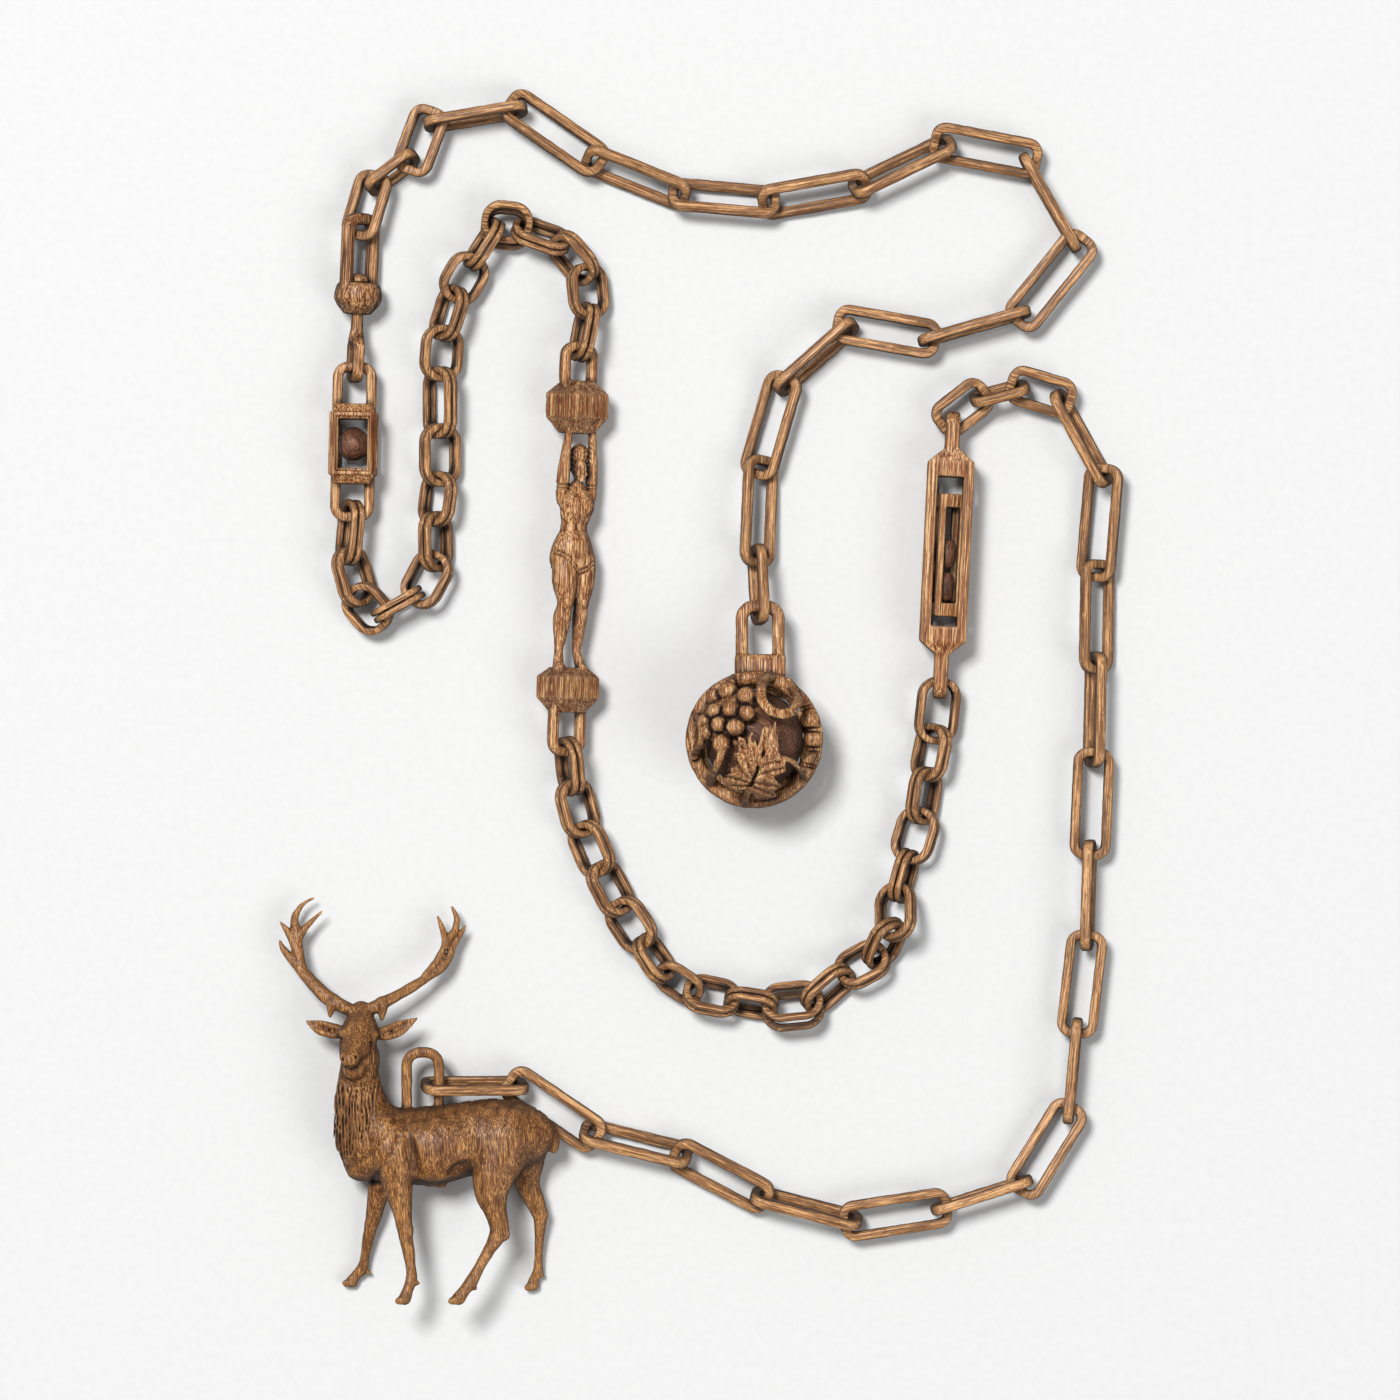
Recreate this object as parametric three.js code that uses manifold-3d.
// Whimsy carved chain: about three metres of loose wooden links with a pierced ball, a swivel,
// two cages, a carved woman and a stag in it, laid flat in the curve in which it was photographed.
// Millimetres. +X is right and +Y is up in the photograph, +Z comes up off the table, and
// the origin is under the middle of the lay, on the table.

import * as THREE from 'three';
import * as BufferGeometryUtils from 'three/addons/utils/BufferGeometryUtils.js';
import Module from 'manifold-3d';

const wasm = await Module();
wasm.setup();

// The lay
const pixel = 0.55;              // mm on the object for one pixel of the photograph
const middlePixel = [700, 700];  // photograph pixel that the lay is drawn around
const play = 0.3;                // gap between loose pieces that touch
const bite = 0.3;                // how far links that are made as one run into each other
const roomStep = 0.1;            // steps in which a pull is opened or closed until the links touch
const mostRoom = 9;
const roomChoices = [0.25, 0.75, 1.25, 2, 3, 4];
const slideChoices = [0, 1, -1, 2, -2, 3, -3, 4.5, -4.5];  // of one bow along the other, into the bend
const slideShare = 0.25;         // a slide counts this much against the room that it saves
const settleSweeps = 3;          // times that a run is gone through, as one slide turns both its links

// Single links
const singleWidth = 22.6;
const singleRod = 5.4;           // across the rod, in the plane of the link
const singleThickness = 5.7;     // through the link

// Double links, each two thin rings side by side
const doubleWidth = 24;
const doubleRod = 4.2;
const doubleThickness = 7.6;
const doubleGroove = 1.2;        // depth of the parting groove between the two rings
const bowCorner = 0.22;          // share of a link's width that each bow corner takes

// Pierced ball pendant
const ballRadius = 37.7;
const ballRim = 3.9;             // half thickness of the rim and ribs that make the ball
const ballFlat = 0.5;            // worn flat that the ball rests on
const captiveBallRadius = 27;
const grapeRadius = 4.6;
const beadRadius = 5;
const hoopRadius = 10;
const hoopRod = 2.5;
const leafThickness = 3.4;
const collarLength = 27;
const collarDepth = 11;
const collarHeight = 11;
const pendantBail = { width: 27, rod: 7, thickness: 7, inside: 25 };
const pendantTilt = 13;          // degrees that the bail slopes down to the table
const pendantSlope = 15;         // height of the first pull after the bail

// Swivel
const barrelRadius = 13.2;
const barrelLength = 17;
const stemRadius = 3.4;
const boreClearance = 0.5;
const pinHeadRadius = 5.6;
const pinHeadHeight = 5;
const stemLength = 12;           // below the barrel, to the eye
const yokeInside = 32;           // clear length of the yoke over the barrel
const yoke = { width: 25, rod: 6.6, thickness: 7 };
const pinEye = { width: 19, rod: 5, thickness: 6.4, inside: 16 };
const pinEyeTurn = 74;           // degrees about its own length
const yokeTurn = -45;
const barrelSides = 10;
const barrelTopShare = 0.86;     // radius of the barrel's flat top, as a share of its full radius
const barrelFootShare = 0.6;
const barrelBelly = [0.3, 0.6];  // shares of its length between which the barrel is full
const pinHeadShare = 0.6;
const pinSides = 8;

// Small cage
const smallCageLength = 44;
const smallCageWidth = 26.4;
const smallCageBevel = 3.2;
const smallCageEndBevel = 4.4;
const smallCageEndShare = 0.6;   // of the end bevel's length that it steps in
const smallWindowLength = 27;
const smallWindowWidth = 16;
const smallCageBail = { width: 24.2, rod: 5.6, thickness: 6.4 };
const smallCageTopBail = 16.5;   // clear length of the bail
const smallCageFootBail = 15.4;
const smallBallRadius = 9.35;

// Long cage, its inner cage and the two captive barrels
const longCageLength = 98.5;
const longCageWidth = 25.4;
const longWindowLength = 82;
const longWindowWidth = 14.3;
const longShoulder = 7.4;
const longCageBevel = 0.8;
const longEye = { width: 22, rod: 5.4, thickness: 7.7 };
const longTopEye = 15;           // clear length from the pull to the shoulder
const longFootEye = 19;
const innerCageLength = 67.5;
const innerCageWidth = 15.4;
const innerCagePost = 3.6;
const innerCageBlock = 7.4;      // solid length at each end
const innerCageTurn = 19;        // degrees about its own length
const innerCageSlide = -2;       // towards the first link, from the middle of the window
const captiveRadius = 5.3;
const captiveLength = 16.2;
const captivePlaces = [-0.8, 17.3];

// Carved figure between two blocks, cut from square stock that lies on its edge
const figurePixels = 395;        // pixels from pull to pull
const figureLength = 217;
const figureMiddle = 16.9;       // height of its axis over the table
const figureTurn = 24;           // degrees that its front turns to the right
const figureBailTurn = -28;
const figureBail = { width: 22, rod: 5.6, thickness: 6.8 };

// Stag
const stagPixels = 398;          // pixels from hoof to antler tip
const stagHeight = 219;
const stagMiddle = 22;           // height of its middle plane over the table
const stagBail = { width: 23.8, rod: 6.2, thickness: 6.8 };

// Each run's start, then each link's row: its roll in degrees and the photograph pixel where the next
// piece pulls on it. A run is stretched between the two pieces that it hangs on.
const pendantStart = [760, 613];
const pendantRun = [
  [-73, 757, 556], [40, 760, 467], [-24, 784, 384], [70, 846, 327], [-10, 929, 339], [85, 1021, 315],
  [-5, 1077, 243], [90, 1029, 161], [-14, 943, 144], [62, 860, 186], [-40, 769, 202], [42, 679, 194],
  [-50, 594, 160], [20, 516, 108], [-78, 432, 120], [12, 410, 162], [-71, 375, 183], [26, 361, 225],
];
const firstDoubleStart = [352, 512];
const firstDoubleRun = [
  [66, 348, 556], [-46, 358, 596], [20, 380, 618], [-89, 416, 596], [-22, 436, 562], [55, 435, 519],
  [-45, 440, 479], [35, 440, 431], [-52, 440, 374], [28, 443, 333], [-55, 455, 294], [22, 473, 262],
  [-75, 493, 226], [15, 522, 228], [-60, 561, 243], [50, 586, 273], [-35, 589, 311], [70, 579, 352],
];
const secondDoubleStart = [566, 746];
const secondDoubleRun = [
  [65, 572, 787], [-40, 583, 829], [40, 600, 869], [-45, 620, 907], [30, 643, 942], [-60, 664, 973],
  [45, 693, 992], [-42, 732, 1000], [60, 770, 1007], [-30, 813, 1003], [55, 845, 974], [-35, 878, 957],
  [50, 893, 929], [-35, 897, 893], [70, 909, 856], [-23, 921, 816], [54, 927, 774], [-48, 935, 734],
  [16, 940, 689],
];
const stagStart = [953, 422];
const stagRun = [
  [8, 980, 397], [-74, 1018, 387], [10, 1062, 400], [-70, 1103, 476], [26, 1097, 571], [-40, 1096, 663],
  [72, 1094, 758], [-4, 1090, 850], [-80, 1087, 941], [5, 1077, 1028], [-85, 1069, 1113], [10, 1023, 1184],
  [88, 941, 1208], [-5, 851, 1221], [72, 761, 1197], [-30, 681, 1155], [60, 591, 1134], [-10, 516, 1085],
  [76, 434, 1089],
];
const pendantPull = [760, 613];
const swivelPull = [361, 225];
const smallCagePull = [355, 372];
const smallCageFoot = [352, 512];
const figurePull = [579, 352];
const figureFoot = [566, 746];
const longCagePull = [940, 689];
const longCageTop = [953, 422];
const stagPull = [434, 1089];
const stagSlope = 11.7;              // height of the last pull before the stag
const heapedHeights = { 13: 22 };    // a pull of the second double run that lies on its neighbours
const firstDoubleGroups = [4, 4, 4, 3, 3];
const secondDoubleGroups = [4, 4, 4, 4, 3];
const splayed = { first_double_14: 4.5, second_double_07: 3.5, second_double_10: 4 };

// Finishes
const paleWood = { color: 0xa8743f, roughness: 0.6, metalness: 0 };
const linkWood = { color: 0x9a6534, roughness: 0.6, metalness: 0 };
const goldenWood = { color: 0x8a5a2b, roughness: 0.55, metalness: 0 };
const darkWood = { color: 0x6b3a20, roughness: 0.5, metalness: 0 };

const upward = new THREE.Vector3(0, 0, 1);
const chain = new THREE.Group();

function radians(degrees) {
  return THREE.MathUtils.degToRad(degrees);
}

// Point of the lay over a photograph pixel
function layPoint([x, y], height) {
  return new THREE.Vector3((x - middlePixel[0]) * pixel, (middlePixel[1] - y) * pixel, height);
}

function addPiece(name, geometry, finish, matrix) {
  const mesh = new THREE.Mesh(geometry, new THREE.MeshStandardMaterial(finish));
  mesh.name = name;
  if (matrix) {
    mesh.applyMatrix4(matrix);
  }
  chain.add(mesh);
  return mesh;
}

// Solids from geometries, and back
function toSolid(source, matrix) {
  const geometry = source.clone();
  geometry.deleteAttribute('normal');
  geometry.deleteAttribute('uv');
  if (matrix) {
    geometry.applyMatrix4(matrix);
  }
  const merged = BufferGeometryUtils.mergeVertices(geometry, 1e-4);
  return new wasm.Manifold(new wasm.Mesh({
    numProp: 3,
    vertProperties: new Float32Array(merged.attributes.position.array),
    triVerts: new Uint32Array(merged.index.array),
  }));
}

function toGeometry(solid) {
  const mesh = solid.getMesh();
  const geometry = new THREE.BufferGeometry();
  geometry.setAttribute('position', new THREE.BufferAttribute(new Float32Array(mesh.vertProperties), 3));
  geometry.setIndex(new THREE.BufferAttribute(new Uint32Array(mesh.triVerts), 1));
  geometry.computeVertexNormals();
  return geometry;
}

function joined(solids) {
  return solids.reduce((whole, solid) => whole.add(solid));
}

function boxAt(size, centre) {
  return toSolid(new THREE.BoxGeometry(...size).translate(...centre));
}

// Closed skin over rings of points; the rings form a loop, or the end rings are capped
function skin(rings, loop) {
  const sides = rings[0].length;
  const index = [];
  const spans = loop ? rings.length : rings.length - 1;
  for (let ring = 0; ring < spans; ring += 1) {
    const next = (ring + 1) % rings.length;
    for (let side = 0; side < sides; side += 1) {
      const after = (side + 1) % sides;
      const [a, b] = [ring * sides + side, ring * sides + after];
      const [c, d] = [next * sides + side, next * sides + after];
      index.push(a, b, d, a, d, c);
    }
  }
  if (!loop) {
    const last = (rings.length - 1) * sides;
    for (let side = 1; side < sides - 1; side += 1) {
      index.push(0, side + 1, side);
      index.push(last, last + side, last + side + 1);
    }
  }
  const geometry = new THREE.BufferGeometry();
  const points = rings.flat().flatMap((point) => point.toArray());
  geometry.setAttribute('position', new THREE.Float32BufferAttribute(points, 3));
  geometry.setIndex(index);
  geometry.computeVertexNormals();
  return geometry;
}

// Section angles of an even polygon, and of a square with small flats on its four edges
function evenAngles(sides) {
  return Array.from({ length: sides }, (_, side) => (side * 2 * Math.PI) / sides);
}

function cutSquareAngles(flat) {
  return [0, 90, 180, 270].flatMap((edge) => [radians(edge - flat), radians(edge + flat)]);
}

// Tapering limb through stations [x, y, z, half width, half depth]; depth is measured towards +Z
function limb(stations, angles) {
  const points = stations.map(([x, y, z]) => new THREE.Vector3(x, y, z));
  const rings = stations.map(([, , , wide, deep], place) => {
    const before = points[Math.max(place - 1, 0)];
    const after = points[Math.min(place + 1, points.length - 1)];
    const along = after.clone().sub(before).normalize();
    const across = upward.clone().cross(along).normalize();
    const through = along.clone().cross(across);
    return angles.map((angle) => points[place].clone()
      .addScaledVector(across, wide * Math.cos(angle))
      .addScaledVector(through, deep * Math.sin(angle)));
  });
  return toSolid(skin(rings, false));
}

// Centre line of a ring that lies along X: a long octagon, clockwise seen from +Z
function ringOutline(low, high, width, rod) {
  const corner = bowCorner * (width - rod);
  const [left, right] = [low - rod / 2, high + rod / 2];
  const side = (width - rod) / 2;
  return [
    [right, -(side - corner)], [right - corner, -side], [left + corner, -side], [left, -(side - corner)],
    [left, side - corner], [left + corner, side], [right - corner, side], [right, side - corner],
  ].map(([x, y]) => new THREE.Vector2(x, y));
}

// Rod sections as [outward, upward] points, anticlockwise
function plainSection({ rod, thickness }) {
  const [out, up] = [rod / 2, thickness / 2];
  return [[out, -up], [out, up], [-out, up], [-out, -up]];
}

function groovedSection({ rod, thickness, groove }) {
  const [out, up] = [rod / 2, thickness / 2];
  return [[out - groove, 0], [out, up], [-out, up], [-out, -up], [out, -up]];
}

// Ring along X whose clear inside runs from low to high
function ringGeometry(low, high, shape) {
  const outline = ringOutline(low, high, shape.width, shape.rod);
  const section = shape.groove ? groovedSection(shape) : plainSection(shape);
  const count = outline.length;
  const rings = outline.map((point, place) => {
    const before = point.clone().sub(outline[(place + count - 1) % count]).normalize();
    const after = outline[(place + 1) % count].clone().sub(point).normalize();
    const along = before.clone().add(after).normalize();
    const outward = new THREE.Vector2(-along.y, along.x);
    const mitre = 1 / along.dot(after);
    return section.map(([out, up]) => new THREE.Vector3(
      point.x + outward.x * out * mitre,
      point.y + outward.y * out * mitre,
      up,
    ));
  });
  return skin(rings, true);
}

// Frame at a point: X along the chain, Y level across it, then rolled about X
function chainFrame(origin, along, roll) {
  const x = along.clone().normalize();
  const y = upward.clone().cross(x).normalize();
  const z = x.clone().cross(y);
  const frame = new THREE.Matrix4().makeBasis(x, y, z).setPosition(origin);
  return frame.multiply(new THREE.Matrix4().makeRotationX(radians(roll)));
}

// Least height of a rolled link's middle line over the table
function restHeight(roll, shape) {
  const turn = radians(roll);
  const width = shape.width + (shape.spread ?? 0);
  return Math.abs(Math.sin(turn)) * width / 2 + Math.abs(Math.cos(turn)) * shape.thickness / 2;
}

// Pull points of a run, stretched from the piece before it to the piece after it
function runPulls(first, start, rows, last, shapeOf, heights) {
  const levels = rows.map(([roll], place) => restHeight(roll, shapeOf(place)));
  const [, endColumn, endRow] = rows[rows.length - 1];
  const startShift = first.pull.clone().sub(layPoint(start, first.pull.z));
  const endShift = last.pull.clone().sub(layPoint([endColumn, endRow], last.pull.z));
  const between = rows.slice(0, -1).map(([, x, y], place) => {
    const level = heights[place + 1] ?? Math.max(levels[place], levels[place + 1]);
    const share = (place + 1) / rows.length;
    return layPoint([x, y], level).addScaledVector(startShift, 1 - share).addScaledVector(endShift, share);
  });
  return [first.pull, ...between, last.pull];
}

function ringSolid(from, to, roll, shape, lowRoom, highRoom) {
  const along = to.clone().sub(from);
  return toSolid(ringGeometry(-lowRoom, along.length() + highRoom, shape), chainFrame(from, along, roll));
}

// One double link: a grooved ring, or two rings that have slid apart
function doubleLink(from, to, roll, shape, lowRoom, highRoom) {
  if (!shape.spread) {
    return ringSolid(from, to, roll, shape, lowRoom, highRoom);
  }
  const half = { width: shape.width, rod: shape.rod, thickness: shape.thickness / 2 };
  const frame = chainFrame(from, to.clone().sub(from), roll);
  const ring = toSolid(ringGeometry(-lowRoom, to.distanceTo(from) + highRoom, half));
  const [apart, over] = [shape.spread / 2, (half.thickness - bite) / 2];
  return joined([-1, 1].map((side) => {
    const slid = new THREE.Matrix4().makeTranslation(0, side * apart, side * over);
    return ring.transform(frame.clone().multiply(slid).elements);
  }));
}

// Ways to open a pull, the gentlest first
const openings = roomChoices
  .flatMap((room) => slideChoices.map((slide) => ({ room, slide })))
  .sort((one, other) => one.room - other.room + (Math.abs(one.slide) - Math.abs(other.slide)) * slideShare);

// Least room, on both sides of a pull, at which the pieces just clear each other
function tightRoom(start, isClear) {
  let room = start;
  while (room > -mostRoom && isClear(room)) {
    room -= roomStep;
  }
  while (room < mostRoom && !isClear(room)) {
    room += roomStep;
  }
  return room;
}

// A run of links between two fixed pieces, each link from pull to pull. Where the chain bends, a bow
// also slides along its neighbour's, as loose links do, until the two clear.
function layRun(first, start, rows, last, shapeOf, heights) {
  const pulls = runPulls(first, start, rows, last, shapeOf, heights);
  const spans = rows.map((_, place) => ({
    from: pulls[place], to: pulls[place + 1], lowRoom: 0, highRoom: 0,
  }));
  const strides = rows.map((_, place) => pulls[place + 1].clone().sub(pulls[place]));
  const steps = [first.along, ...strides, last.along].map((step) => step.clone().setZ(0).normalize());
  const link = (place, lowRoom, highRoom) => doubleLink(
    spans[place].from, spans[place].to, rows[place][0], shapeOf(place), lowRoom, highRoom,
  );
  const isClear = (pull, room) => {
    const before = pull === 0 ? first.solid : link(pull - 1, 0, room);
    const after = pull === rows.length ? last.solid : link(pull, room, 0);
    return before.intersect(after).isEmpty();
  };
  const slideAt = (pull, slide) => {
    const inward = steps[pull + 1].clone().sub(steps[pull]).normalize();
    const isEnd = pull === 0 || pull === rows.length;
    const share = isEnd ? slide : slide / 2;
    if (pull > 0) {
      spans[pull - 1].to = pulls[pull].clone().addScaledVector(inward, -share);
    }
    if (pull < rows.length) {
      spans[pull].from = pulls[pull].clone().addScaledVector(inward, share);
    }
  };
  const opened = pulls.map(() => 0);
  for (let sweep = 0; sweep < settleSweeps; sweep += 1) {
    pulls.forEach((_, pull) => {
      if (isClear(pull, opened[pull])) {
        return;
      }
      const best = openings.find(({ room, slide }) => {
        slideAt(pull, slide);
        return isClear(pull, room);
      });
      opened[pull] = best ? best.room : mostRoom;
    });
  }
  const rooms = pulls.map((_, pull) => tightRoom(0, (room) => isClear(pull, room)));
  return { link, rooms };
}

// The two pulls of a fixed piece that lies along X of its frame
function ends(solid, frame, length) {
  const along = new THREE.Vector3().setFromMatrixColumn(frame, 0);
  return [0, length].map((place) => ({
    solid,
    along,
    pull: new THREE.Vector3(place, 0, 0).applyMatrix4(frame),
  }));
}

function numbered(name, place) {
  return `${name}_${String(place + 1).padStart(2, '0')}`;
}

function addSingleRun(name, first, start, rows, last, heights) {
  const shape = { width: singleWidth, rod: singleRod, thickness: singleThickness };
  const { link, rooms } = layRun(first, start, rows, last, () => shape, heights);
  rows.forEach((_, place) => {
    const solid = link(place, rooms[place] + play / 2, rooms[place + 1] + play / 2);
    addPiece(numbered(name, place), toGeometry(solid), linkWood);
  });
}

function addDoubleRun(name, first, start, rows, last, groups, heights) {
  const shapeOf = (place) => ({
    width: doubleWidth,
    rod: doubleRod,
    thickness: doubleThickness,
    groove: doubleGroove,
    spread: splayed[numbered(name, place)],
  });
  const { link, rooms } = layRun(first, start, rows, last, shapeOf, heights);
  let low = 0;
  groups.forEach((count) => {
    const [from, to] = [low, low + count];
    const room = (pull) => rooms[pull] + (pull === from || pull === to ? play / 2 : -bite / 2);
    const places = Array.from({ length: count }, (_, offset) => from + offset);
    const links = places.map((place) => link(place, room(place), room(place + 1)));
    const label = `${numbered(name, from)}_to_${String(to).padStart(2, '0')}`;
    addPiece(label, toGeometry(joined(links)), linkWood);
    low = to;
  });
}

// Pierced ball: local frame centred in the ball, +Y to the bail, +Z up
const hoopLevel = 0.5;       // how far the hoop levels out of the ball's skin
const hoopStretch = 1.15;
const berrySink = 0.7;       // share of its radius that a grape or bead stands in the ball's skin
const berrySwell = 1.06;     // makes up for the flat faces
const rimSides = 16;
const ribSpans = 12;
const ribTurns = [15, 138];
const ballPlace = [754, 739.5];
const hoopPlace = [778, 694];

function onBall([x, y], depth) {
  const radius = ballRadius - depth;
  const flat = layPoint([x, y], 0).sub(layPoint(ballPlace, 0)).clampLength(0, radius);
  const height = Math.sqrt(Math.max(radius ** 2 - flat.x ** 2 - flat.y ** 2, 0));
  return flat.setZ(height);
}

function vine(pixels, wide, deep) {
  const stations = pixels.map((place) => [...onBall(place, ballRim).toArray(), wide, deep]);
  return limb(stations, evenAngles(4));
}

function hoopOnBall() {
  const centre = onBall(hoopPlace, hoopRod);
  const tilt = centre.clone().normalize().lerp(upward, hoopLevel).normalize();
  const facing = new THREE.Quaternion().setFromUnitVectors(upward, tilt);
  const matrix = new THREE.Matrix4().compose(centre, facing, new THREE.Vector3(1, hoopStretch, 1));
  return toSolid(new THREE.TorusGeometry(hoopRadius, hoopRod, 4, 8), matrix);
}

function berry(radius, place) {
  const centre = onBall(place, radius * berrySink);
  return toSolid(new THREE.IcosahedronGeometry(radius * berrySwell, 0).translate(...centre.toArray()));
}

// Leaf of lobes bent over the ball: [angle from straight up, reach] of each lobe's tip and each notch
const leafHub = [752, 779];
const leafRim = [
  [-132, 15], [-117, 11], [-102, 16], [-78, 10], [-52, 21.5], [-34, 15], [-19, 36.5], [-5, 17], [14, 24.5],
  [38, 13], [79, 17.5], [97, 10.5], [115, 14], [150, 9], [200, 9],
];

// Patch of the ball's skin around a hub, between two depths; its rim runs anticlockwise
function patch(hub, rim, outerDepth, innerDepth) {
  const places = [hub, ...rim];
  const points = [outerDepth, innerDepth].flatMap((depth) => places.map((place) => onBall(place, depth)));
  const inner = rim.length + 1;
  const index = rim.flatMap((_, side) => {
    const [low, high] = [side + 1, ((side + 1) % rim.length) + 1];
    return [
      0, low, high, inner, inner + high, inner + low,
      low, inner + low, inner + high, low, inner + high, high,
    ];
  });
  const geometry = new THREE.BufferGeometry().setFromPoints(points);
  geometry.setIndex(index);
  return toSolid(geometry);
}

function leafOnBall() {
  const rim = leafRim.map(([angle, reach]) => {
    const turn = radians(angle);
    const steps = reach / pixel;
    return [leafHub[0] - Math.sin(turn) * steps, leafHub[1] - Math.cos(turn) * steps];
  });
  return patch(leafHub, rim, 0, leafThickness);
}

const grapePlaces = [
  [714, 697], [728, 692], [746, 696], [716, 711], [731, 710], [746, 712], [705, 725], [720, 727],
  [735, 727], [721, 743],
];
const bunchHub = [726, 713];
const bunchRim = [
  [711, 694], [700, 719], [702, 737], [722, 746], [738, 731], [751, 714], [751, 693], [728, 688],
];
const bunchDepths = [3.2, 6];
const beadPlaces = [[812, 719], [814, 739]];
const vines = [
  { wide: 2.6, deep: 2.8, places: [[688, 714], [697, 712], [707, 721]] },
  { wide: 2.8, deep: 2.6, places: [[735, 668], [730, 681], [728, 692]] },
  { wide: 3.4, deep: 3, places: [[737, 671], [716, 684], [698, 706], [690, 724]] },
  { wide: 2.4, deep: 2.6, places: [[697, 712], [700, 732], [695, 752], [688, 768]] },
  { wide: 2.1, deep: 2.4, places: [[721, 744], [714, 770], [706, 794]] },
  { wide: 2.2, deep: 2.6, places: [[751, 780], [747, 796], [744, 810]] },
  { wide: 2.4, deep: 2.6, places: [[776, 755], [790, 760], [800, 770], [802, 782], [792, 798]] },
  { wide: 2.8, deep: 2.8, places: [[797, 682], [808, 702], [812, 719], [814, 739], [808, 757], [798, 768]] },
  { wide: 2.6, deep: 2.6, places: [[766, 668], [768, 678], [764, 688]] },
  { wide: 2.4, deep: 2.4, places: [[746, 712], [756, 724], [770, 732]] },
];

function addPendant() {
  const rimRadius = ballRadius - ballRim;
  const rim = toSolid(new THREE.TorusGeometry(rimRadius, ballRim, 5, rimSides));
  const ribs = ribTurns.map((turn) => {
    const rib = new THREE.TorusGeometry(rimRadius, ballRim, 4, ribSpans);
    return toSolid(rib.rotateX(Math.PI / 2).rotateZ(radians(turn)));
  });
  const size = 2 * ballRadius + 2;
  const lowerHalf = boxAt([size, size, size], [0, 0, -size / 2]);
  const back = joined(ribs).intersect(lowerHalf);
  const front = [
    hoopOnBall(),
    leafOnBall(),
    patch(bunchHub, bunchRim, ...bunchDepths),
    ...grapePlaces.map((place) => berry(grapeRadius, place)),
    ...beadPlaces.map((place) => berry(beadRadius, place)),
    ...vines.map(({ places, wide, deep }) => vine(places, wide, deep)),
  ];
  const bailTop = layPoint(pendantPull, 0).sub(layPoint(ballPlace, 0));
  bailTop.z = -bailTop.y * Math.tan(radians(pendantTilt));
  const bailFrame = chainFrame(bailTop, new THREE.Vector3(0, -bailTop.y, -bailTop.z), 0);
  const bail = ringGeometry(0, pendantBail.inside + pendantBail.width / 4, pendantBail);
  const collar = new THREE.BoxGeometry(collarHeight, collarLength, collarDepth)
    .translate(pendantBail.inside + collarHeight / 2, 0, 0);
  const hanger = [bail, collar].map((geometry) => toSolid(geometry, bailFrame));
  const table = boxAt([size, size, size], [0, 0, -ballRadius + ballFlat - size / 2]);
  const centre = layPoint(ballPlace, ballRadius - ballFlat);
  const placed = new THREE.Matrix4().setPosition(centre);
  const solid = joined([rim, back, ...hanger, ...front]).subtract(table).transform(placed.elements);
  addPiece('pierced_ball_pendant', toGeometry(solid), paleWood);

  const ribInside = (ballRadius - 2 * ballRim) * Math.cos(Math.PI / ribSpans);
  const captiveHeight = centre.z - (ribInside - captiveBallRadius - play);
  const captive = new THREE.SphereGeometry(captiveBallRadius, 10, 7);
  captive.translate(centre.x, centre.y, captiveHeight);
  addPiece('pendant_captive_ball', captive, darkWood);
  return {
    solid,
    pull: bailTop.add(centre),
    along: new THREE.Vector3(0, 1, 0),
  };
}

// Profile [radius, place along X] turned about X
function turned(profile, sides) {
  const points = profile.map(([radius, place]) => new THREE.Vector2(radius, place));
  return toSolid(new THREE.LatheGeometry(points, sides).rotateZ(-Math.PI / 2));
}

// Swivel: local frame at the yoke's pull, +X along the chain
function swivelYoke(frame) {
  const end = yokeInside + barrelLength;
  const boreRadius = stemRadius + boreClearance;
  const barrel = turned([
    [0, yokeInside],
    [barrelRadius * barrelTopShare, yokeInside],
    ...barrelBelly.map((share) => [barrelRadius, yokeInside + barrelLength * share]),
    [barrelRadius * barrelFootShare, end],
    [0, end],
  ], barrelSides);
  const turn = new THREE.Matrix4().makeRotationX(radians(yokeTurn));
  const loop = toSolid(ringGeometry(0, yokeInside + yoke.rod, yoke), turn);
  const [low, high] = [yokeInside - 1, end + 1];
  const bore = turned([[0, low], [boreRadius, low], [boreRadius, high], [0, high]], pinSides);
  return barrel.add(loop).subtract(bore).transform(frame.elements);
}

function swivelPin(frame, room) {
  const headFoot = yokeInside - play;
  const stemEnd = yokeInside + barrelLength + stemLength;
  const pin = turned([
    [0, headFoot - pinHeadHeight],
    [pinHeadRadius * pinHeadShare, headFoot - pinHeadHeight],
    [pinHeadRadius, headFoot - pinHeadHeight / 2],
    [pinHeadRadius, headFoot],
    [stemRadius, headFoot],
    [stemRadius, stemEnd + pinEye.rod / 2],
    [0, stemEnd + pinEye.rod / 2],
  ], pinSides);
  const eyeTurn = new THREE.Matrix4().makeRotationX(radians(pinEyeTurn));
  const eyeStart = stemEnd + pinEye.rod;
  const eye = toSolid(ringGeometry(eyeStart, eyeStart + pinEye.inside + room, pinEye), eyeTurn);
  return pin.add(eye).transform(frame.elements);
}

// Bars of a cage: the two window cuts through a block that lies along X
function windowCuts(length, width, depth, centre) {
  return [
    boxAt([length, width, depth], [centre, 0, 0]),
    boxAt([length, depth, width], [centre, 0, 0]),
  ];
}

function bevelledSquare(half, bevel) {
  const flat = half - bevel;
  return [
    [half, -flat], [half, flat], [flat, half], [-flat, half], [-half, flat], [-half, -flat], [-flat, -half],
    [flat, -half],
  ];
}

function blockAlongX(stations) {
  const rings = stations.map(([x, section]) => section.map(([y, z]) => new THREE.Vector3(x, y, z)));
  return toSolid(skin(rings, false));
}

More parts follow.
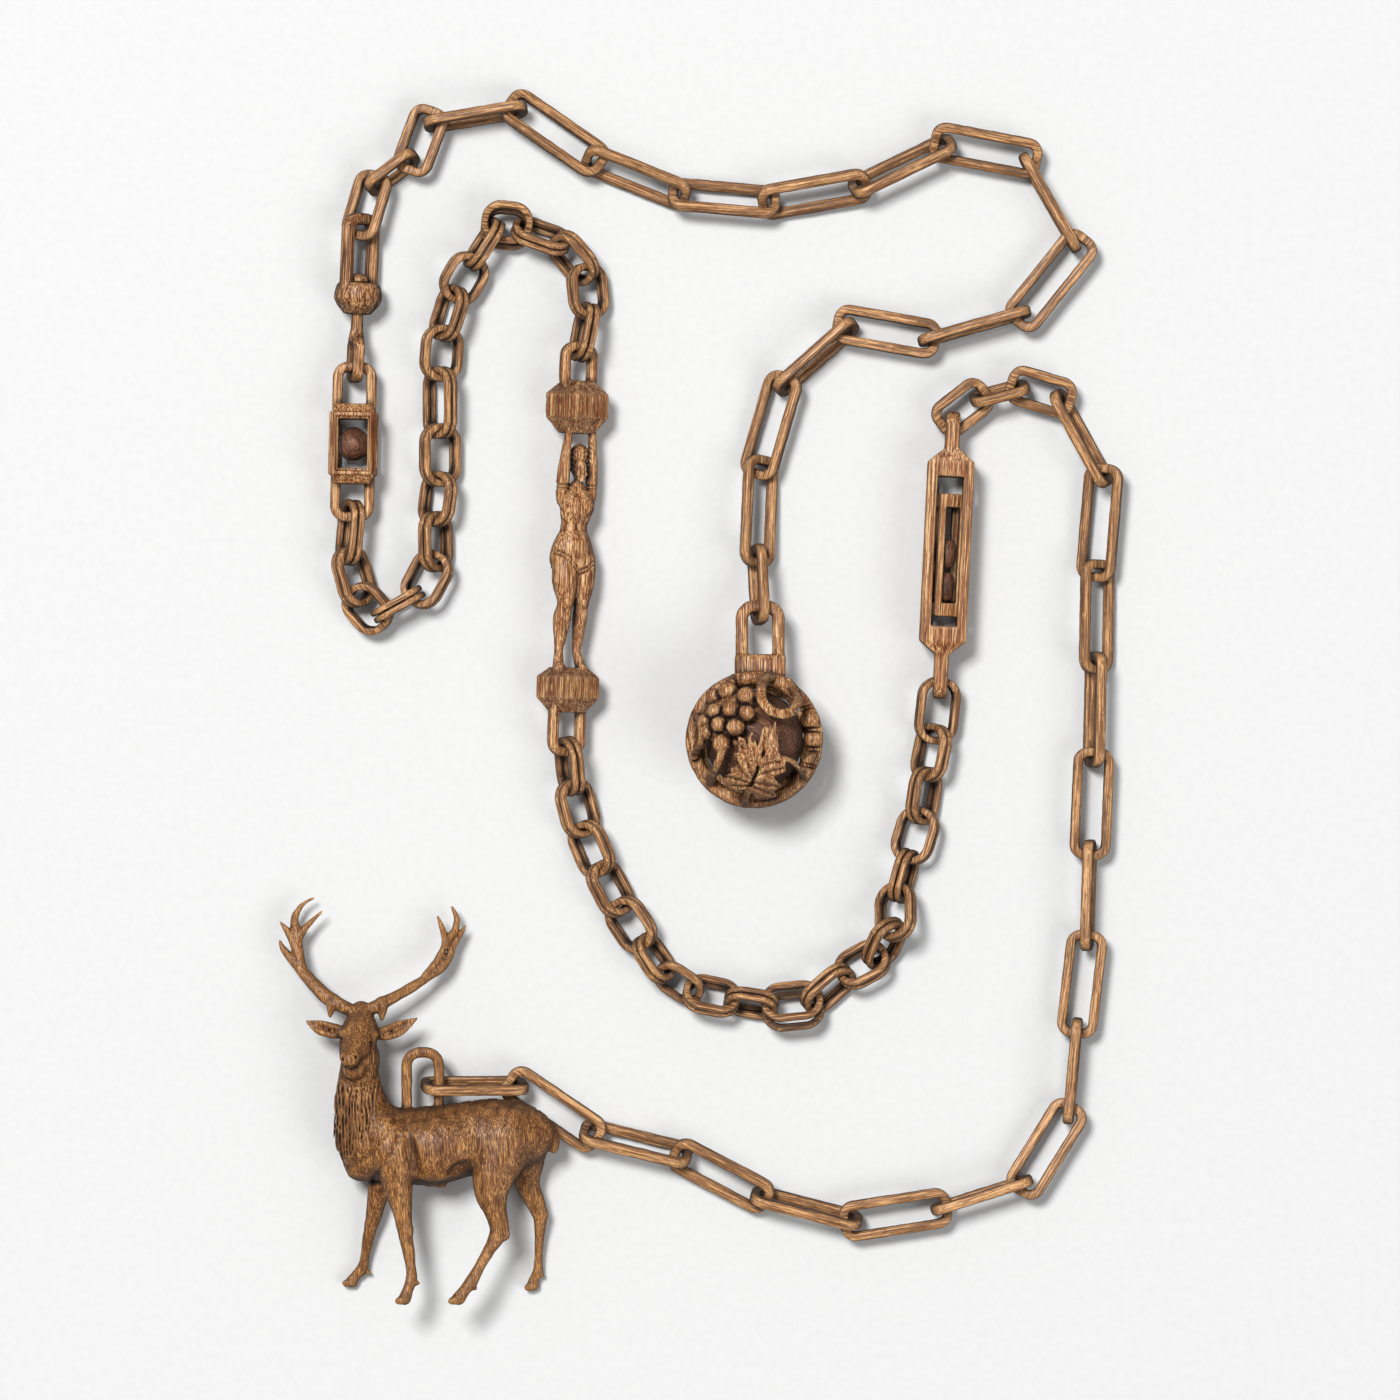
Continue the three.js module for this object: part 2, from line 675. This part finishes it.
function smallCage(frame, room) {
  const start = smallCageTopBail;
  const end = start + smallCageLength;
  const full = bevelledSquare(smallCageWidth / 2, smallCageBevel);
  const step = smallCageEndBevel * smallCageEndShare;
  const small = bevelledSquare(smallCageWidth / 2 - step, smallCageBevel * smallCageEndShare);
  const block = blockAlongX([
    [start, small], [start + smallCageEndBevel, full], [end - smallCageEndBevel, full], [end, small],
  ]);
  const buried = smallCageBail.width * bowCorner;
  const bails = [
    toSolid(ringGeometry(-room, start + buried, smallCageBail)),
    toSolid(ringGeometry(end - buried, end + smallCageFootBail, smallCageBail)),
  ];
  const cuts = windowCuts(smallWindowLength, smallWindowWidth, 2 * smallCageWidth, (start + end) / 2);
  return joined([block, ...bails]).subtract(joined(cuts)).transform(frame.elements);
}

// The swivel and the cage that hangs on its pin
function addSwivelAndCage() {
  const start = layPoint(swivelPull, barrelRadius);
  const frame = chainFrame(start, layPoint(smallCagePull, barrelRadius).sub(start), 0);
  const eyeEnd = yokeInside + barrelLength + stemLength + pinEye.rod + pinEye.inside;
  const cageStart = new THREE.Vector3(eyeEnd, 0, 0).applyMatrix4(frame);
  const cageFrame = chainFrame(cageStart, layPoint(smallCageFoot, barrelRadius).sub(cageStart), 0);
  const isClear = (room) => swivelPin(frame, room).intersect(smallCage(cageFrame, room)).isEmpty();
  const room = play / 2 + tightRoom(0, isClear);

  const yokeSolid = swivelYoke(frame);
  const cageSolid = smallCage(cageFrame, room);
  addPiece('swivel_yoke', toGeometry(yokeSolid), linkWood);
  addPiece('swivel_pin', toGeometry(swivelPin(frame, room)), linkWood);
  addPiece('small_cage', toGeometry(cageSolid), paleWood);

  const post = smallWindowWidth / 2;
  const sink = post - Math.sqrt((smallBallRadius + play) ** 2 - post ** 2);
  const ball = new THREE.SphereGeometry(smallBallRadius, 8, 5);
  ball.translate(smallCageTopBail + smallCageLength / 2, 0, -sink);
  addPiece('small_cage_ball', ball, darkWood, cageFrame);
  const cageEnd = smallCageTopBail + smallCageLength + smallCageFootBail;
  return [ends(yokeSolid, frame, cageEnd)[0], ends(cageSolid, cageFrame, cageEnd)[1]];
}

// Long cage: local frame at the pull of the double links, +X towards the stag's run
function addLongCage() {
  const pull = layPoint(longCagePull, longCageWidth / 2);
  const frame = chainFrame(pull, layPoint(longCageTop, longCageWidth / 2).sub(pull), 0);
  const start = longFootEye + longShoulder;
  const end = start + longCageLength;
  const top = end + longShoulder + longTopEye;
  const half = longCageWidth / 2;
  const square = bevelledSquare(half, longCageBevel);
  const [flatter, narrower] = [longEye.thickness, longEye.width].map((size) => size / longCageWidth);
  const waist = square.map(([y, z]) => [y * flatter, z * narrower]);
  const block = blockAlongX([
    [start - longShoulder, waist], [start, square], [end, square], [end + longShoulder, waist],
  ]);
  const upright = new THREE.Matrix4().makeRotationX(Math.PI / 2);
  const buried = longEye.width * bowCorner;
  const eyes = [
    toSolid(ringGeometry(0, longFootEye + buried, longEye), upright),
    toSolid(ringGeometry(top - longTopEye - buried, top, longEye), upright),
  ];
  const middle = (start + end) / 2;
  const cuts = windowCuts(longWindowLength, longWindowWidth, 2 * longCageWidth, middle);
  const solid = joined([block, ...eyes]).subtract(joined(cuts)).transform(frame.elements);
  addPiece('long_cage', toGeometry(solid), paleWood);

  const turn = new THREE.Matrix4().makeRotationX(radians(innerCageTurn));
  const centre = middle + innerCageSlide;
  const bar = boxAt([innerCageLength, innerCageWidth, innerCageWidth], [centre, 0, 0]);
  const opening = innerCageLength - 2 * innerCageBlock;
  const innerWindow = innerCageWidth - 2 * innerCagePost;
  const innerCuts = windowCuts(opening, innerWindow, 2 * innerCageWidth, centre);
  const inner = toGeometry(bar.subtract(joined(innerCuts))).applyMatrix4(turn);
  const drop = new THREE.Matrix4().makeTranslation(0, 0, -play);
  addPiece('long_cage_inner_cage', inner, paleWood, frame.clone().multiply(drop));

  captivePlaces.forEach((place, number) => {
    const barrel = new THREE.SphereGeometry(1, 7, 5).rotateZ(Math.PI / 2);
    barrel.scale(captiveLength / 2, captiveRadius, captiveRadius).translate(centre - place, 0, -play);
    addPiece(`long_cage_captive_${number + 1}`, barrel, darkWood, frame);
  });
  return ends(solid, frame, top);
}

// Figure: drawn on the photograph, [pixels right of its axis, pixel row, forward, half width, half depth]
const torsoStations = [
  [3, 484, 0, 5, 5], [3, 492, 0, 14, 8], [2.5, 504, 4, 18, 12.5], [2, 515, 0, 14.5, 9.5],
  [1, 527, 0, 13.5, 9.5], [0.5, 541, 0, 19.5, 12.5], [0, 556, -1, 24, 15.5], [0, 576, 0, 13, 9],
];
const rightLegStations = [
  [-8, 560, 1, 13, 13], [-7.6, 582, 2, 13, 13], [-7, 602, 4, 9.4, 9.8], [-8.8, 620, -1, 9.4, 10],
  [-10.9, 650, 0, 5, 5.4], [-12, 671, 5, 7.5, 10],
];
const leftLegStations = [
  [13, 560, 0, 12, 12.5], [12.3, 582, 1, 11.6, 12], [10.6, 602, 2, 8.6, 9], [10.1, 620, 0, 8, 9.4],
  [8.4, 650, -1, 5, 5.4], [11.5, 671, 4, 7.5, 10],
];
const armStations = [
  [0.9, 500, 1, 5, 5], [1.12, 484, 1, 6.5, 6.5], [1.1, 460, 2, 5.6, 5.8], [0.95, 434, 3, 4.2, 4.6],
  [0.95, 422, 3, 5.5, 6],
];
const headStations = [
  [3, 488, 0, 4.5, 5], [4, 481, 3, 6.5, 8], [4.5, 473, 2, 9, 10.5], [5, 462, 1, 10, 11.5],
  [5, 452, -1, 9, 10], [5, 443, -2, 4.5, 5],
];
const armOffset = 14.5;      // pixels from the arms' middle to each arm
const armLean = 2.5;
const figureSides = { torso: 8, head: 6, leg: 6, arm: 5 };
const blockHalf = 31;
const blockEnds = { upperTop: 16, upperFoot: 17, lower: 18 };
const upperRows = [381, 395, 417, 434];
const lowerRows = [668, 677, 698, 712];
const buriedRows = [392, 700];   // how far the two bails run into their blocks
const blockFlat = 9;             // degrees of flat on the blocks' edges

function addFigure() {
  const scale = figureLength / figurePixels;
  const pull = layPoint(figurePull, figureMiddle);
  const frame = chainFrame(pull, layPoint(figureFoot, figureMiddle).sub(pull), 0);
  const place = ([right, row, forward, wide, deep]) => [
    (row - figurePull[1]) * scale, right * scale, forward * scale, wide * scale, deep * scale,
  ];
  const front = new THREE.Matrix4().makeRotationX(radians(-figureTurn));
  const body = (stations, sides) => limb(stations.map(place), evenAngles(sides));
  const mirrored = (stations, offset, lean, sides) => [-1, 1].map((side) => body(
    stations.map(([share, ...rest]) => [lean + side * offset * share, ...rest]),
    sides,
  ));
  const flesh = joined([
    body(torsoStations, figureSides.torso),
    body(headStations, figureSides.head),
    body(rightLegStations, figureSides.leg),
    body(leftLegStations, figureSides.leg),
    ...mirrored(armStations, armOffset, armLean, figureSides.arm),
  ]).transform(front.elements);
  const block = (rows, halves) => limb(
    rows.map((row, ring) => place([0, row, 0, halves[ring], halves[ring]])),
    cutSquareAngles(blockFlat),
  );
  const upper = block(upperRows, [blockEnds.upperTop, blockHalf, blockHalf, blockEnds.upperFoot]);
  const lower = block(lowerRows, [blockEnds.lower, blockHalf, blockHalf, blockEnds.lower]);
  const bailTurn = new THREE.Matrix4().makeRotationX(radians(figureBailTurn));
  const [blockTop, blockFoot] = buriedRows.map((row) => (row - figurePull[1]) * scale);
  const bails = [
    toSolid(ringGeometry(0, blockTop, figureBail), bailTurn),
    toSolid(ringGeometry(blockFoot, figureLength, figureBail), bailTurn),
  ];
  const solid = joined([flesh, upper, lower, ...bails]).transform(frame.elements);
  addPiece('carved_figure', toGeometry(solid), paleWood);
  return ends(solid, frame, figureLength);
}

// Stag: drawn on the photograph, [pixel column, pixel row, towards the viewer, half width, half depth]
const stagParts = {
  body: [
    [553, 1131, 0, 7, 8], [540, 1133, 1, 22, 18], [520, 1135, 1, 32, 26], [490, 1136, 0, 38, 32],
    [435, 1143, 0, 42, 34], [405, 1142, 0, 41, 33], [378, 1137, 0, 38, 30], [354, 1134, 0, 28, 22],
    [340, 1130, 0, 12, 10],
  ],
  neck: [
    [372, 1148, 0, 32, 24], [364, 1118, 2, 31, 24], [361, 1094, 6, 26, 21], [361, 1068, 9, 20, 19],
    [360, 1046, 9, 15, 14],
  ],
  head: [
    [361, 1008, 2, 10, 8], [361, 1022, 8, 20, 16], [359, 1036, 16, 21, 20], [356, 1048, 26, 18, 18],
    [353, 1057, 37, 14, 14], [351, 1062, 44, 9, 9],
  ],
  nearFore: [
    [398, 1144, 20, 20, 14], [402, 1190, 22, 13, 11], [405, 1222, 23, 9, 8], [411, 1262, 26, 6, 6],
    [414, 1278, 28, 6.5, 6], [407, 1299, 30, 9, 7],
  ],
  farFore: [
    [382, 1160, -18, 16, 13], [377, 1192, -20, 10, 9], [370, 1232, -24, 7, 6.5], [363, 1262, -29, 5, 5],
    [361, 1274, -31, 6, 5.5], [350, 1287, -33, 8.5, 7],
  ],
  nearHind: [
    [503, 1134, 16, 32, 18], [495, 1168, 20, 26, 15], [490, 1194, 22, 17, 12], [500, 1226, 24, 9.5, 8],
    [479, 1268, 28, 6, 5.5], [470, 1284, 29, 7.5, 6.5], [462, 1298, 30, 10, 7],
  ],
  farHind: [
    [528, 1150, -14, 20, 16], [528, 1184, -18, 14, 11], [540, 1212, -21, 7, 7], [539, 1240, -26, 5, 5],
    [538, 1266, -30, 4.5, 4.5], [533, 1288, -33, 8.5, 7],
  ],
  tail: [[541, 1118, 0, 5, 5], [551, 1131, 0, 7, 6], [555, 1143, 0, 7.5, 6], [557, 1152, 0, 5, 4]],
  leftEar: [[344, 1031, 6, 5, 4], [327, 1030, 5, 8.5, 4], [315, 1024, 3, 6, 3], [307, 1019, 2, 1.5, 1.5]],
  rightEar: [[378, 1031, 6, 5, 4], [397, 1029, 5, 8.5, 4], [410, 1022, 3, 6, 3], [419, 1016, 2, 1.5, 1.5]],
  sheath: [[432, 1180, 0, 6, 6], [446, 1186, 0, 3, 3]],
};
const antlers = [
  [
    [355, 1012, 6, 7], [338, 1003, 4, 7.5], [318, 988, -2, 6], [304, 968, -8, 6], [296, 948, -14, 6.5],
    [296, 922, -19, 4.6], [313, 898, -22, 1.5],
  ],
  [[299, 962, -10, 4.5], [287, 952, -14, 4], [279, 940, -16, 1.5]],
  [[297, 948, -14, 5], [288, 936, -16, 4], [280, 920, -18, 1.5]],
  [[297, 938, -16, 4.5], [308, 927, -16, 4], [323, 911, -16, 1.5]],
  [[335, 1000, 4, 4.5], [331, 1015, 6, 2]],
  [
    [368, 1012, 6, 7], [386, 1002, 4, 7.5], [410, 988, -2, 6], [430, 976, -8, 6], [443, 962, -12, 6],
    [450, 942, -17, 5.4], [467, 924, -20, 1.5],
  ],
  [[446, 948, -14, 4.5], [442, 932, -14, 4], [436, 915, -14, 1.5]],
  [[452, 942, -16, 4.5], [459, 924, -20, 4], [451, 905, -22, 1.5]],
  [[380, 1003, 4, 4.5], [383, 1018, 6, 2]],
];
const stagSides = { body: 8, neck: 6, head: 6, leftEar: 4, rightEar: 4, sheath: 4 };
const limbSides = 5;
const tineSides = 4;
const stagBailColumn = 423.5;
const stagBailTopRow = 1057;
const stagBailFootRow = 1112;

function addStag() {
  const scale = stagHeight / stagPixels;
  const origin = layPoint(stagPull, stagMiddle);
  const place = ([column, row, forward, wide, deep]) => [
    (column - stagPull[0]) * scale, (stagPull[1] - row) * scale, forward * scale, wide * scale, deep * scale,
  ];
  const flesh = Object.entries(stagParts)
    .map(([name, stations]) => limb(stations.map(place), evenAngles(stagSides[name] ?? limbSides)));
  const tines = antlers.map((stations) => limb(
    stations.map(([column, row, forward, half]) => place([column, row, forward, half, half])),
    evenAngles(tineSides),
  ));
  const [x, y] = place([stagBailColumn, stagBailTopRow, 0, 0, 0]);
  const inside = (stagBailFootRow - stagBailTopRow) * scale;
  const bailFrame = chainFrame(new THREE.Vector3(x, y, 0), new THREE.Vector3(0, -1, 0), 0);
  const bail = toSolid(ringGeometry(0, inside, stagBail), bailFrame);
  const placed = new THREE.Matrix4().setPosition(origin);
  const solid = joined([...flesh, ...tines, bail]).transform(placed.elements);
  addPiece('stag', toGeometry(solid), goldenWood);
  return { solid, pull: origin, along: new THREE.Vector3(-1, 0, 0) };
}

// The carvings, then the runs of links between them
const pendant = addPendant();
const [swivel, cageFoot] = addSwivelAndCage();
const [figureHead, figureEnd] = addFigure();
const [longCageStart, longCageEnd] = addLongCage();
const stag = addStag();
const stagHeights = { [stagRun.length - 1]: stagSlope };
addSingleRun('pendant_link', pendant, pendantStart, pendantRun, swivel, { 1: pendantSlope });
addDoubleRun(
  'first_double', cageFoot, firstDoubleStart, firstDoubleRun, figureHead, firstDoubleGroups, {},
);
addDoubleRun(
  'second_double', figureEnd, secondDoubleStart, secondDoubleRun, longCageStart, secondDoubleGroups,
  heapedHeights,
);
addSingleRun('stag_link', longCageEnd, stagStart, stagRun, stag, stagHeights);

// The whole stands on the table, centred over the origin
chain.updateMatrixWorld(true);
const bounds = new THREE.Box3().setFromObject(chain);
const middle = bounds.getCenter(new THREE.Vector3());
chain.position.set(-middle.x, -middle.y, -bounds.min.z);
chain.updateMatrixWorld(true);

export default chain;
